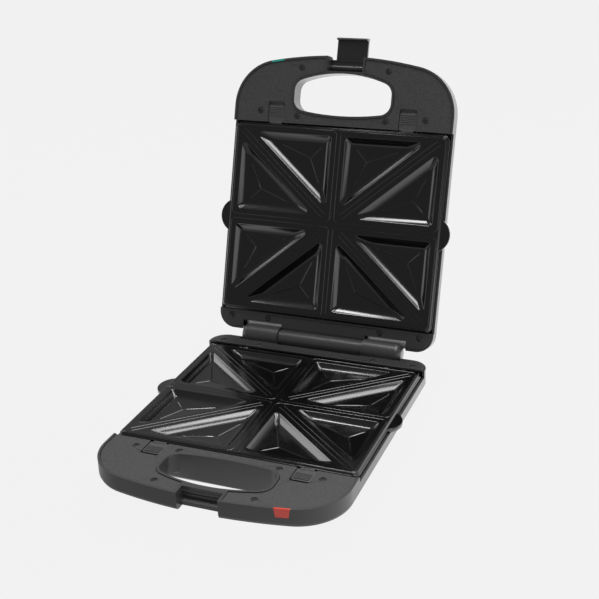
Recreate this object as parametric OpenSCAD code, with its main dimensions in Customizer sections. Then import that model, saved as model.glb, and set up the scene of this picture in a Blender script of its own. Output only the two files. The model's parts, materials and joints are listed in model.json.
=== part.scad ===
// Sandwich toaster with a hinged lid, shown open.
// Each half is drawn with its plate's top at z = 0, cavity side below,
// and the lid is the same half turned over and swung about the hinge.

/* [Body outline] */
// Plate's side edge to the outside of the housing
side_margin = 2.5; // [1.5:0.1:12]
// Plate's front edge to the housing's front edge at the middle
handle_depth = 78.75; // [65:0.05:100]
// Plate's rear edge to the rear wall
rear_depth = 22.55; // [18:0.05:40]
// Radius of the bowed front edge
front_arc_r = 450; // [350:10:700]
// Radius of the two large front corners
front_corner_r = 52; // [35:1:65]
// Radius of the two rear corners
rear_corner_r = 19; // [10:1:30]
// Height of the tray part of a half, from the plate's top down
tray_h = 20; // [17:0.5:28]
// Rounding of the tray's outer lower edge
edge_r = 4; // [2:0.5:6]
// Wall of the moulded housings
wall = 2.5; // [2:0.1:4]

/* [Tub and dome] */
// Depth of the base's tub under the tray
tub_h = 12; // [8:1:25]
// Depth of the lid's dome over its tray
dome_h = 9; // [5:1:18]
// Side wall of the tray to the tub's side
tub_side = 21; // [12:0.5:35]
// Front edge of the tray to the tub's front
tub_front_in = 60; // [45:0.5:75]
// Rear wall of the tray to the tub's rear
tub_rear_in = 17.8; // [10:0.1:30]
// Corner radius of the tub
tub_r = 20; // [10:1:35]
// Height of a rubber foot below the tub
foot_h = 6; // [4:0.5:12]
// Radius of a rubber foot
foot_r = 9; // [6:0.5:14]
// Centre of a foot to the side of the tub
foot_side = 23; // [18:0.5:40]
// Centre of a rear foot to the rear of the tub
foot_rear = 16.5; // [16:0.5:40]

/* [Plates] */
// Width of a cooking plate
plate_w = 251; // [200:1:310]
// Depth of a cooking plate, front to back
plate_d = 214.5; // [175:0.5:260]
// Thickness of the plate's flange
plate_t = 2.6; // [2:0.1:4]
// Depth of the plate's skirt
skirt_h = 5.5; // [4:0.5:8]
// Wall of the skirt
skirt_t = 2.4; // [1.5:0.1:4]
// Corner radius of the plate
plate_r = 7; // [3:0.5:12]
// Radius of a finger ear
ear_r = 19.5; // [14:0.5:25]
// How far an ear stands out from the plate
ear_reach = 10; // [7:0.5:14]
// Plate edge to the side pockets
pocket_side = 10; // [7:0.5:16]
// Plate edge to the front and rear pockets
pocket_end = 9.5; // [7:0.5:16]
// Half width of the band across the middle
band_y = 8.7; // [6:0.1:14]
// Half width of the band along the middle
band_x = 8; // [6:0.1:14]
// Half width of a diagonal rib
rib_half = 8.3; // [6:0.1:12]
// Rounding of the pocket corners
pocket_r = 3; // [1.5:0.5:5]
// Depth of a pocket where its wall meets the floor
pocket_wall_h = 5.5; // [4:0.5:9]
// Depth of a pocket at the middle of its floor
pocket_h = 8.5; // [6:0.5:13]
// Width of a pocket's sloping wall
pocket_slope = 6.5; // [4:0.5:9]
// Metal below the pockets
pocket_skin = 2.2; // [1.8:0.1:4]
// Width of the channel between two cooking squares
channel_w = 4.4; // [3:0.1:7]
// Depth of the channels and sealing grooves
channel_h = 0.6; // [0.4:0.1:1.2]
// Width of a rear tab
tab_w = 16; // [10:1:24]
// Reach of a rear tab under the hinge cover
tab_reach = 3; // [2:0.5:5]
// Thickness of a rear tab
tab_t = 2.2; // [1.5:0.1:4]
// Half spacing of the rear tabs
tab_x = 84; // [70:1:95]

/* [Handle] */
// Half width of the hand hole at its widest
hole_x = 56.5; // [45:0.5:70]
// Plate's front edge to the hole's rear edge
hole_gap = 13.05; // [8:0.05:20]
// Depth of the hand hole, front to back at the middle
hole_d = 46.4; // [36:0.1:52]
// Corner radius of the hand hole
hole_r = 13; // [8:0.5:18]
// Radius of the hole's bowed front edge
hole_front_r = 140; // [110:5:300]
// Radius of the hole's bowed rear edge
hole_rear_r = 297; // [200:1:500]
// Thickness of the handle panel and hinge cover
panel_t = 2.5; // [2:0.1:4]
// Depth of the panel's face below the plate's top
panel_drop = 1.5; // [0.5:0.1:4]
// How far the rim stands above the panel
rim_h = 0.8; // [0.3:0.1:2]
// Thickness of the heat wall under the panel
heat_wall_t = 2; // [1.5:0.1:3]
// Gap between parts that fit into each other
fit_gap = 0.3; // [0.2:0.05:0.6]

/* [Latch] */
// Half width of the latch notch
notch_x = 20.7; // [15:0.1:28]
// Front edge of the housing to the latch pin
latch_in = 12.8; // [9:0.1:16]
// Height of the latch pin above the base plate, lid closed
latch_z = 15; // [10:0.5:20]
// Radius of the latch pin
latch_pin_r = 1.5; // [1:0.1:2.5]
// Radius of the latch barrel
latch_barrel_r = 4.2; // [3.5:0.1:6]
// Reach of the latch's wide root from the pin
latch_root = 8.9; // [5:0.1:10]
// Half width of the latch blade
latch_x = 18; // [12:0.5:25]
// Distance from the pin to the blade's inner face
latch_off = 9; // [8:0.5:12]
// Thickness of the latch blade
latch_t = 3; // [2:0.1:4]
// Reach of the hook from the blade
hook_reach = 5.2; // [3:0.1:7]
// Lower edge of the keeper lip below the base plate's top
keeper_z = 17; // [14:0.5:18]
// Reach of the keeper lip
keeper_reach = 6; // [4:0.5:8]

/* [Hinge] */
// Rear wall to the hinge axis
hinge_out = 4.8; // [2:0.1:10]
// Height of the hinge axis above the base plate's top
hinge_z = 4; // [2:0.1:8]
// Angle of the open lid from closed
open_angle = 108.4; // [90:0.1:120]
// Space between the plates when the lid is closed
lid_gap = 1; // [0.8:0.1:3]
// Radius of the base's two knuckles
knuckle_r = 12; // [9:0.5:14]
// Radius of the lid's middle barrel
barrel_r = 9.5; // [7:0.5:12]
// Half length of the middle barrel
barrel_x = 49.7; // [35:0.1:60]
// Length of a knuckle
knuckle_w = 45; // [30:1:60]
// Radius of a hinge pin
hinge_pin_r = 3; // [2:0.1:4]
// Length of a hinge pin
hinge_pin_l = 34; // [20:1:44]
// Running clearance of pins in their bores
pin_gap = 0.05; // [0.02:0.01:0.1]
// Height of the base hinge cover above the plate's top
cover_up = 2.6; // [1:0.1:3.5]
// Depth of the lid hinge cover below its plate's top
cover_down = 2.4; // [2:0.1:4]

/* [Release clips] */
// Half spacing of the release clips
clip_x = 77; // [70:0.5:84]
// Width of the clip's opening
clip_w = 20; // [14:0.5:24]
// Length of the clip's opening
clip_l = 23.3; // [20:0.1:30]
// Corner radius of a clip and its opening
clip_r = 3; // [1:0.5:5]
// Length of a clip's foot under the panel
foot_l = 22; // [18:0.5:26]
// Thickness of a clip's foot
foot_t = 2; // [1.5:0.1:3]
// Length of the rails that carry a clip
rail_l = 26; // [22:0.5:30]
// Travel of a clip
clip_travel = 3.5; // [2:0.5:5]
// Outer radius of a clip spring
spring_r = 2.7; // [2:0.1:4]
// Wire of a clip spring
spring_wire = 0.8; // [0.5:0.1:1.2]
// Turns of a clip spring
spring_turns = 6; // [4:1:9]
// Length of a clip spring at rest
spring_l = 13; // [10:0.5:18]

/* [Heating and lamps] */
// Radius of the heating tube
tube_r = 3.25; // [2.5:0.05:4.5]
// Plate's side edge to the middle of the heating tube
loop_side = 47.5; // [35:0.5:65]
// Plate's front edge to the middle of the heating tube
loop_end = 45.25; // [35:0.25:65]
// Bend radius of the heating loop
loop_r = 22; // [12:1:30]
// Thickness of the reflector sheet
sheet_t = 0.8; // [0.5:0.1:1.5]
// Plate's side edge to the reflector
reflector_side = 29.5; // [27:0.5:45]
// Plate's front edge to the reflector
reflector_end = 14.25; // [12:0.25:30]
// Radius of the thermostat
thermostat_r = 8; // [6:0.5:11]
// Distance of a lens from the middle
lens_x = 79.5; // [70:0.5:84]
// Width of a lens at the rim
lens_w = 14.8; // [8:0.1:18]
// Height of a lens
lens_h = 9; // [5:0.5:11]
// How much a lens narrows to its foot, each side
lens_taper = 1.4; // [0.5:0.1:3]
// Screw head radius
screw_r = 2.9; // [2:0.1:4]
// Screw shank radius
shank_r = 1.5; // [1:0.1:2]
// Length of a screw's shank
shank_l = 8.5; // [6:0.5:12]
// Wall of a screw post
post_wall = 2.2; // [1.6:0.1:3]
// Spare depth of a post's bore past the screw's tip
bore_spare = 2; // [1:0.5:4]
// Radius of the bore in the cord gland
gland_bore = 3.3; // [2.5:0.1:5]
// Side wall to the middle of the cord gland
gland_side = 27; // [24:0.5:30]
// Height of the cord gland against the plate's top
gland_z = -7.5; // [-10:0.5:-6]

/* [Hidden] */
plate_x = plate_w/2;
plate_y = plate_d/2;
half_w = plate_x+side_margin;
body_w = 2*half_w;
front_reach = plate_y+handle_depth;
front_y = -front_reach;
rear_y = plate_y+rear_depth;
hole_rear = plate_y+hole_gap;
hole_front = hole_rear+hole_d;
latch_y = front_reach-latch_in;
hinge_y = rear_y+hinge_out;
tub_w = body_w-2*tub_side;
tub_front = front_reach-tub_front_in;
tub_rear = rear_y-tub_rear_in;
foot_x = tub_w/2-foot_side;
foot_y = tub_rear-foot_rear;
loop_x = plate_x-loop_side;
loop_y = plate_y-loop_end;
reflector_w = plate_w-2*reflector_side;
reflector_d = plate_d-2*reflector_end;
gland_x = half_w-gland_side;
arc_cy = front_y+front_arc_r;
corner_x = half_w-front_corner_r;
corner_y = arc_cy-sqrt(pow(front_arc_r-front_corner_r, 2)-corner_x*corner_x);
stand_h = tray_h+tub_h+foot_h;
panel_z = -panel_drop;
rim_z = panel_z+rim_h;
side_rim_z = -skirt_h-0.8;
panel_y = -plate_y-1.75;
cover_y = plate_y+0.55;
latch_tip = latch_z+keeper_z+0.3+latch_t;
keeper_y = hole_front+6;
clip_front = panel_y-clip_l;
clip_end = clip_front+clip_travel+fit_gap;
clip_top = panel_z-1.1;
slide_z = panel_z-panel_t-fit_gap;
lug_y = clip_front-0.9;
stop_y = lug_y-spring_l;
spring_z = slide_z-4.8;
tube_z = -pocket_h-pocket_skin-tube_r-0.3;
reflector_z = tube_z-tube_r-1.6;
reflector_wall_h = -pocket_h-pocket_skin-0.7-(reflector_z-sheet_t);
end_bend_r = 9;
end_x = 11;
recess_base_r = barrel_r+4.5;
recess_lid_r = knuckle_r+3.5;
seat_drop = 1.3;
// Depth from which inner works rise; the housing's own block trims them.
far_down = 60;
screw_at = [[half_w-31.5, -plate_y-14.15], [52, -plate_y-10.15],
  [50.3, -plate_y-63.75]];
cover_screw_at = [[half_w-16, plate_y+7.35], [67, plate_y+6.95]];
// The open lid leans back: the tip of its latch sets the middle of the footprint.
lid_tip = hinge_y+sin(open_angle)*(latch_z+latch_off+latch_t-hinge_z)
  -cos(open_angle)*(hinge_y+latch_y+latch_tip);
place_y = -(lid_tip-front_reach)/2;
$fn = 64;

// ---- placing ----

module in_base() {
  translate([0, place_y, stand_h]) children();
}

module in_lid() {
  translate([0, place_y+hinge_y, stand_h+hinge_z]) rotate([-open_angle, 0, 0])
    translate([0, -hinge_y, lid_gap-hinge_z]) mirror([0, 0, 1]) children();
}

module both_sides() {
  children();
  mirror([1, 0, 0]) children();
}

module both_ends() {
  children();
  mirror([0, 1, 0]) children();
}

// ---- outlines ----

// Plan of a half: bowed front, two large front corners, two small rear ones.
module body_outline(d) {
  far = 1.3*front_arc_r/(front_arc_r-front_corner_r);
  intersection() {
    translate([0, arc_cy]) circle(r = front_arc_r-d, $fn = 360);
    translate([0, arc_cy]) polygon([[corner_x, corner_y-arc_cy],
      [-corner_x, corner_y-arc_cy], [-corner_x*far, (corner_y-arc_cy)*far],
      [corner_x*far, (corner_y-arc_cy)*far]]);
  }
  for (s = [-1, 1]) {
    translate([s*corner_x, corner_y]) circle(r = front_corner_r-d, $fn = 96);
    translate([s*(half_w-rear_corner_r), rear_y-rear_corner_r])
      circle(r = rear_corner_r-d, $fn = 48);
  }
  translate([-half_w+d, corner_y])
    square([2*(half_w-d), rear_y-rear_corner_r-corner_y]);
  translate([-half_w+rear_corner_r, corner_y])
    square([2*(half_w-rear_corner_r), rear_y-d-corner_y]);
}

// Plan of the hand hole, grown by g: two bowed edges and rounded ends.
module hole_outline(g) {
  offset(r = hole_r+g) intersection() {
    translate([0, -hole_front+hole_front_r])
      circle(r = hole_front_r-hole_r, $fn = 120);
    translate([0, -hole_rear-hole_rear_r])
      circle(r = hole_rear_r-hole_r, $fn = 180);
    translate([0, -hole_front]) square([2*(hole_x-hole_r), 100], center = true);
  }
}

module rounded_rect(x, y0, y1, r) {
  for (s = [-1, 1], y = [y0+r, y1-r]) translate([s*(x-r), y]) circle(r = r, $fn = 32);
  translate([-x, y0+r]) square([2*x, y1-y0-2*r]);
  translate([-x+r, y0]) square([2*(x-r), y1-y0]);
}

// Plan of the tub or dome, drawn in by d.
module tub_outline(d) {
  rounded_rect(tub_w/2-d, -tub_front+d, tub_rear-d, tub_r-d);
}

// ---- housing of a half ----

module slice(z) {
  translate([0, 0, z]) linear_extrude(0.01) children();
}

// Block in the form of a half, drawn in by d all round, from its outer skin up
// to the given height; deep is the height of the tub or dome.
module half_block(d, deep, top) {
  z0 = -tray_h+d;
  lap = 0.05;
  translate([0, 0, z0+edge_r]) linear_extrude(top-z0-edge_r) body_outline(d);
  hull() {
    slice(z0+edge_r+0.5) body_outline(d+lap);
    slice(z0+0.3*edge_r) body_outline(d+0.3*edge_r);
    slice(z0) body_outline(d+edge_r);
  }
  hull() {
    slice(z0+1) tub_outline(d);
    slice(z0-0.7*deep) tub_outline(d+0.32*deep);
    slice(z0-deep) tub_outline(d+0.32*deep+3.5);
  }
}

// A screw post; the bore holds the shank.
module post(at, top) {
  for (s = [-1, 1]) translate([s*at[0], at[1], -far_down])
    cylinder(r = shank_r+post_wall, h = far_down+top);
}

module post_bores(at, top) {
  for (s = [-1, 1]) translate([s*at[0], at[1], top-shank_l-bore_spare])
    cylinder(r = shank_r+pin_gap, h = shank_l+bore_spare+1.5, $fn = 24);
}

// The bores of all posts of a half.
module screw_bores(cover_z) {
  for (p = screw_at) post_bores(p, panel_z-panel_t);
  for (p = cover_screw_at) post_bores(p, cover_z-panel_t);
}

// Everything that stands up inside a half.
module half_inside(cover_z) {
  // collar of the hand hole, thick wall round the latch notch
  translate([0, 0, -far_down]) linear_extrude(far_down+rim_z) hole_outline(wall);
  translate([-notch_x-wall, -front_reach-5, -far_down])
    cube([2*(notch_x+wall), front_reach+5-hole_front, far_down+rim_z]);
  // posts for the panel and the hinge cover
  for (p = screw_at) post(p, panel_z-panel_t);
  for (p = cover_screw_at) post(p, cover_z-panel_t);
  // heat wall under the panel's rear edge, open where the clips pass
  difference() {
    translate([-half_w+8, panel_y-heat_wall_t, -far_down])
      cube([body_w-16, heat_wall_t, far_down+panel_z-panel_t]);
    for (s = [-1, 1]) translate([s*clip_x-clip_w/2-3, panel_y-heat_wall_t-1, slide_z-8])
      cube([clip_w+6, heat_wall_t+2, 10]);
  }
  // rails and spring stop of each clip
  for (s = [-1, 1]) translate([s*clip_x, 0, 0]) {
    for (t = [-1, 1]) translate([t*(clip_w/2+0.5)-1, lug_y-1, -far_down])
      cube([2, rail_l, far_down+slide_z-foot_t-0.2]);
    translate([-6, stop_y-2, -far_down]) cube([12, 2, far_down+spring_z+4]);
  }
  // ledges that carry the plate's flange, and the reflector's posts
  for (s = [-1, 1], t = [-1, 1]) {
    translate([s*(plate_x-14)-4, t*(plate_y-13)-4, -far_down])
      cube([8, 8, far_down-plate_t-0.1]);
    translate([s*(reflector_w/2-14), t*(reflector_d/2-14), -far_down])
      cylinder(r = 4, h = far_down+reflector_z-sheet_t-0.1, $fn = 24);
  }
}

// Hollow housing with its inner works, before the notch and hinge are cut.
module half_shell(deep, cover_z) {
  difference() {
    union() {
      difference() {
        half_block(0, deep, rim_z);
        half_block(wall, deep, 20);
      }
      // raised rim of the hinge end
      if (cover_z-1 > rim_z) translate([0, 0, rim_z-1])
        linear_extrude(cover_z-rim_z) difference() {
          body_outline(0);
          body_outline(wall);
          translate([-body_w, -2*body_w]) square([2*body_w, 2*body_w+cover_y]);
        }
      intersection() {
        half_block(0.1, deep, rim_z);
        half_inside(cover_z);
      }
    }
    // low rim beside the plate
    translate([-body_w, panel_y, side_rim_z]) cube([2*body_w, cover_y-panel_y, 30]);
    translate([-body_w, cover_y-0.1, cover_z-1]) cube([2*body_w, body_w, 30]);
    translate([0, 0, -80]) linear_extrude(120) hole_outline(0);
  }
}

// Trough that a turning barrel lies in.
module trough(r, x0, x1, z, top) {
  intersection() {
    translate([x0, hinge_y, z]) rotate([0, 90, 0]) difference() {
      cylinder(r = r+wall, h = x1-x0);
      translate([0, 0, -1]) cylinder(r = r, h = x1-x0+2);
    }
    translate([x0-1, rear_y-25, z-40]) cube([x1-x0+2, 25, 40-z+top]);
  }
}

// A knuckle with its outer end rounded, along +x from x = 0.
module knuckle() {
  rotate([0, 90, 0]) rotate_extrude() union() {
    square([knuckle_r-8, knuckle_w]);
    square([knuckle_r, knuckle_w-8]);
    translate([knuckle_r-8, knuckle_w-8]) intersection() {
      circle(r = 8);
      square(9);
    }
  }
}

module lens_prism(g) {
  w = lens_w/2+g;
  rotate([90, 0, 0]) linear_extrude(12, center = true)
    polygon([[-w, rim_z+g*4], [w, rim_z+g*4], [w-lens_taper, rim_z-lens_h-g],
      [-w+lens_taper, rim_z-lens_h-g]]);
}

module base_shell() color([0.1, 0.1, 0.1]) in_base() {
  difference() {
    union() {
      difference() {
        union() {
          half_shell(tub_h, cover_up);
          trough(recess_base_r, -barrel_x-0.5, barrel_x+0.5, hinge_z,
            cover_up-panel_t-0.1);
          // gussets that carry the knuckles
          both_sides() translate([barrel_x+2.8, 0, 0]) rotate([90, 0, 90])
            linear_extrude(knuckle_w-12)
            polygon([[rear_y-3, -tray_h+edge_r+1], [rear_y-0.1, -tray_h+edge_r+1],
              [hinge_y+4, hinge_z-6], [hinge_y, hinge_z], [rear_y-8, -1],
              [rear_y-8, -3]]);
        }
        // latch notch, down to the keeper's wall
        translate([-notch_x, -front_reach-9, -60])
          cube([2*notch_x, front_reach+9-keeper_y, 80]);
        translate([lens_x, -front_reach+5, 0]) lens_prism(0.15);
        // run of the middle barrel
        translate([-barrel_x-0.5, hinge_y, hinge_z]) rotate([0, 90, 0])
          cylinder(r = recess_base_r, h = 2*barrel_x+1);
        translate([gland_x, rear_y, gland_z]) rotate([90, 0, 0])
          cylinder(r = gland_bore+2.4, h = 20, center = true);
      }
      // keeper: ribbed wall with a lip at its foot
      translate([-notch_x, -keeper_y, -keeper_z-0.01]) rotate([90, 0, 90])
        linear_extrude(2*notch_x)
        polygon([[0.5, keeper_z-1.8], [0, keeper_z-2], [0, keeper_z-4],
          [-1, keeper_z-4.6], [-1, keeper_z-5.8], [0, keeper_z-6.4],
          [0, keeper_z-7.2], [-1, keeper_z-7.8], [-1, keeper_z-9],
          [0, keeper_z-9.6], [0, 5], [-keeper_reach+1, 4], [-keeper_reach, 3],
          [-keeper_reach, 0], [0.5, 0]]);
      both_sides() translate([barrel_x+0.8, hinge_y, hinge_z]) knuckle();
    }
    both_sides() translate([barrel_x-2, hinge_y, hinge_z]) rotate([0, 90, 0])
      cylinder(r = hinge_pin_r+pin_gap, h = hinge_pin_l/2+3.1);
    screw_bores(cover_up);
  }
}

module lid_shell() color([0.1, 0.1, 0.1]) in_lid() {
  pin_z = lid_gap-latch_z;
  axis_z = lid_gap-hinge_z;
  difference() {
    union() {
      difference() {
        union() {
          half_shell(dome_h, -cover_down);
          both_sides() trough(recess_lid_r, barrel_x+0.3, barrel_x+knuckle_w+4,
            axis_z, -cover_down-panel_t-0.1);
        }
        translate([-notch_x, -front_reach-9, -60])
          cube([2*notch_x, front_reach+9-hole_front-wall, 80]);
        translate([-notch_x, -latch_y, pin_z]) rotate([0, 90, 0])
          cylinder(r = latch_barrel_r+0.5, h = 2*notch_x);
        translate([-lens_x, -front_reach+5, 0]) lens_prism(0.15);
        both_sides() translate([barrel_x+0.3, hinge_y, axis_z]) rotate([0, 90, 0])
          cylinder(r = recess_lid_r, h = knuckle_w+3);
      }
      // middle barrel and the web that joins it to the rear wall
      translate([-barrel_x, hinge_y, axis_z]) rotate([0, 90, 0])
        cylinder(r = barrel_r, h = 2*barrel_x);
      translate([-barrel_x, rear_y-6, axis_z-9]) cube([2*barrel_x, hinge_y-rear_y+6, 9]);
    }
    both_sides() translate([barrel_x-hinge_pin_l/2-0.1, hinge_y, axis_z])
      rotate([0, 90, 0]) cylinder(r = hinge_pin_r+pin_gap, h = hinge_pin_l/2+1);
    translate([-notch_x-2, -latch_y, pin_z]) rotate([0, 90, 0])
      cylinder(r = latch_pin_r+pin_gap, h = 2*notch_x+4);
    screw_bores(-cover_down);
  }
}

// ---- covers ----

module handle_panel() {
  difference() {
    translate([0, 0, panel_z-panel_t]) linear_extrude(panel_t) difference() {
      intersection() {
        body_outline(wall+fit_gap);
        translate([-body_w, -front_reach-5]) square([2*body_w, front_reach+5+panel_y]);
      }
      hole_outline(wall+fit_gap);
      translate([-notch_x-wall-fit_gap, -front_reach-9])
        square([2*(notch_x+wall+fit_gap), front_reach+9-hole_front]);
      for (s = [-1, 1]) translate([s*clip_x, 0]) {
        hull() for (t = [-1, 1]) {
          translate([t*(clip_w/2-clip_r), clip_front+clip_r]) circle(r = clip_r);
          translate([t*(clip_w/2-clip_r), panel_y]) square([2*clip_r, 2], center = true);
        }
        for (t = [-1, 1]) translate([t*(clip_w/2-1), panel_y]) square([2, 8], center = true);
      }
      for (p = screw_at, s = [-1, 1]) translate([s*p[0], p[1]])
        circle(r = shank_r+0.2, $fn = 24);
    }
    for (p = screw_at, s = [-1, 1]) translate([s*p[0], p[1], panel_z-seat_drop])
      cylinder(r = screw_r+0.6, h = 3, $fn = 32);
  }
}

module hinge_cover(z, r, x0, x1, axis_z) {
  difference() {
    translate([0, 0, z-panel_t]) linear_extrude(panel_t) difference() {
      intersection() {
        body_outline(wall+fit_gap);
        translate([-body_w, cover_y]) square([2*body_w, body_w]);
      }
      for (p = cover_screw_at, s = [-1, 1]) translate([s*p[0], p[1]])
        circle(r = shank_r+0.2, $fn = 24);
    }
    for (p = cover_screw_at, s = [-1, 1]) translate([s*p[0], p[1], z-seat_drop])
      cylinder(r = screw_r+0.6, h = 3, $fn = 32);
    if (x0 < 0) translate([x0, hinge_y, axis_z]) rotate([0, 90, 0])
      cylinder(r = r, h = x1-x0);
    else both_sides() translate([x0, hinge_y, axis_z]) rotate([0, 90, 0])
      cylinder(r = r, h = x1-x0);
  }
}

module base_panel() color([0.3, 0.31, 0.32]) in_base() handle_panel();

module lid_panel() color([0.3, 0.31, 0.32]) in_lid() handle_panel();

module base_hinge_cover() color([0.12, 0.12, 0.12]) in_base() difference() {
  hinge_cover(cover_up, recess_base_r, -barrel_x-0.5, barrel_x+0.5, hinge_z);
  // openings for the two knuckles
  both_sides() translate([barrel_x+0.5, hinge_y, hinge_z]) rotate([0, 90, 0])
    cylinder(r = knuckle_r+fit_gap, h = knuckle_w+0.6);
}

module lid_hinge_cover() color([0.12, 0.12, 0.12]) in_lid() difference() {
  hinge_cover(-cover_down, recess_lid_r, barrel_x+0.3, barrel_x+knuckle_w+3.3,
    lid_gap-hinge_z);
  // opening for the middle barrel and its web
  translate([-barrel_x-0.4, rear_y-6-fit_gap, -cover_down-panel_t-1])
    cube([2*barrel_x+0.8, 20, panel_t+2]);
}

// ---- cooking plates ----

// Right-angled triangle of a pocket, drawn in by d, with rounded corners.
// which = 0 is the pocket at the plate's end, 1 the one at its side.
function rib_u() = let (a = plate_x-5, b = plate_y-4) [a, b]/norm([a, b]);
function pocket_tri(which) = let (u = rib_u(), ex = plate_x-pocket_side,
  ey = plate_y-pocket_end)
  which == 0 ? [[band_x, ey], [band_x, (rib_half+u[1]*band_x)/u[0]],
    [(u[0]*ey-rib_half)/u[1], ey]]
  : [[ex, band_y], [ex, (u[1]*ex-rib_half)/u[0]],
    [(rib_half+u[0]*band_y)/u[1], band_y]];

// Corner i of triangle t moved to lie d inside both of its sides.
function tucked(t, i, d) = let (a = t[i], b = t[(i+1)%3], c = t[(i+2)%3],
  p = (b-a)/norm(b-a), q = (c-a)/norm(c-a), m = (p+q)/norm(p+q),
  h = acos(p*q)/2) a+m*d/sin(h);

// Rounded outline of triangle t drawn in by d, with corners of radius r.
corner_steps = 4;
function round_tri(t, d, r) = [for (i = [0:2])
  let (p = t[(i+2)%3], a = t[i], n = t[(i+1)%3],
    from = atan2((a-p)[0], -(a-p)[1])+180, to = atan2((n-a)[0], -(n-a)[1])+180,
    turn = (to-from+720)%360, c = tucked(t, i, d+r))
  for (k = [0:corner_steps]) let (w = from+turn*k/corner_steps)
    [c[0]+r*cos(w), c[1]+r*sin(w)]];

// The floor falls evenly from its three walls, so it is lowest where the lines
// that halve the corners meet.
function pocket_mid(which) = let (t = pocket_tri(which), a = norm(t[1]-t[2]),
  b = norm(t[2]-t[0]), c = norm(t[0]-t[1])) (a*t[0]+b*t[1]+c*t[2])/(a+b+c);

// Solid with a level outline at each [inset, radius, z] and a low point at m.
module dished(t, levels, m) {
  n = 3*(corner_steps+1);
  last = len(levels)-1;
  pts = concat([for (l = levels) for (p = round_tri(t, l[0], l[1])) [p[0], p[1], l[2]]],
    [m]);
  polyhedron(points = pts, convexity = 4, faces = concat(
    [[for (k = [n-1:-1:0]) k]],
    [for (l = [0:last-1], k = [0:n-1])
      [l*n+k, l*n+(k+1)%n, (l+1)*n+(k+1)%n, (l+1)*n+k]],
    [for (k = [0:n-1]) [last*n+k, last*n+(k+1)%n, (last+1)*n]]));
}

// A pocket: steep wall, rounded foot, floor that falls to one low point.
module pocket(which) {
  m = pocket_mid(which);
  dished(pocket_tri(which), [[-0.1, pocket_r, 0.5], [1.2, pocket_r-0.6, -2.4],
    [0.48*pocket_slope, 1.6, -0.82*pocket_wall_h],
    [pocket_slope, 0.8, -pocket_wall_h]], [m[0], m[1], -pocket_h]);
}

module pocket_bulge(which) {
  m = pocket_mid(which);
  dished(pocket_tri(which), [[-1.7, pocket_r+1, -plate_t+0.5],
    [1.2-pocket_skin, pocket_r, -2.4-pocket_skin],
    [pocket_slope-2.2, 1.2, -pocket_wall_h-pocket_skin]],
    [m[0], m[1], -pocket_h-pocket_skin]);
}

module plate_outline(d) {
  rounded_rect(plate_x-d, -plate_y+d, plate_y-d, plate_r-d);
  for (s = [-1, 1]) intersection() {
    translate([s*(plate_x+ear_reach-ear_r), 0]) circle(r = ear_r-d, $fn = 48);
    translate([s*(plate_x+ear_reach/2-2), 0]) square([ear_reach+4, 2*ear_r], center = true);
  }
}

// Channels between the squares, sealing grooves along the ribs, the middle star.
module plate_lines() {
  u = rib_u();
  g = channel_h+0.4;
  reach = norm([plate_x, plate_y])-7;
  translate([0, 0, -channel_h]) {
    translate([-channel_w/2, -plate_y-1, 0]) cube([channel_w, 2*plate_y+2, g]);
    translate([-plate_x+3, -channel_w/2, 0]) cube([2*plate_x-6, channel_w, g]);
    for (sx = [-1, 1], sy = [-1, 1]) rotate([0, 0, atan2(sy*u[1], sx*u[0])])
      for (t = [-1, 1]) translate([12, t*2-0.6, 0]) cube([reach-12, 1.2, g]);
    difference() {
      cylinder(r = 11, h = g, $fn = 8);
      translate([0, 0, -1]) cylinder(r = 7, h = g+2, $fn = 16);
    }
  }
}

// cover_z is the top of the hinge cover that the rear tabs reach under.
module cooking_plate(cover_z) {
  tab_top = min(-0.2, cover_z-panel_t-fit_gap);
  difference() {
    union() {
      difference() {
        union() {
          translate([0, 0, -skirt_h]) linear_extrude(skirt_h-0.9) plate_outline(0);
          translate([0, 0, -1.5]) linear_extrude(1.5) plate_outline(1.3);
        }
        translate([0, 0, -skirt_h-1]) linear_extrude(skirt_h+1-plate_t)
          plate_outline(skirt_t);
      }
      both_sides() both_ends() for (w = [0, 1]) pocket_bulge(w);
      // boss that meets the thermostat
      translate([0, 0, -plate_t-1.4]) cylinder(r = 6, h = 2, $fn = 24);
      // rear tabs
      for (s = [-1, 1]) translate([s*tab_x-tab_w/2, plate_y-3, tab_top-tab_t])
        cube([tab_w, 3+tab_reach, tab_t]);
      for (s = [-1, 1]) translate([s*tab_x-tab_w/2, plate_y-3, tab_top-tab_t])
        cube([tab_w, 2.8, -tab_top+tab_t-1]);
    }
    both_sides() both_ends() for (w = [0, 1]) pocket(w);
    plate_lines();
  }
}

module lower_plate() color([0.05, 0.05, 0.05]) in_base() cooking_plate(cover_up);

module upper_plate() color([0.05, 0.05, 0.05]) in_lid() cooking_plate(-cover_down);

// ---- heating ----

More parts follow.
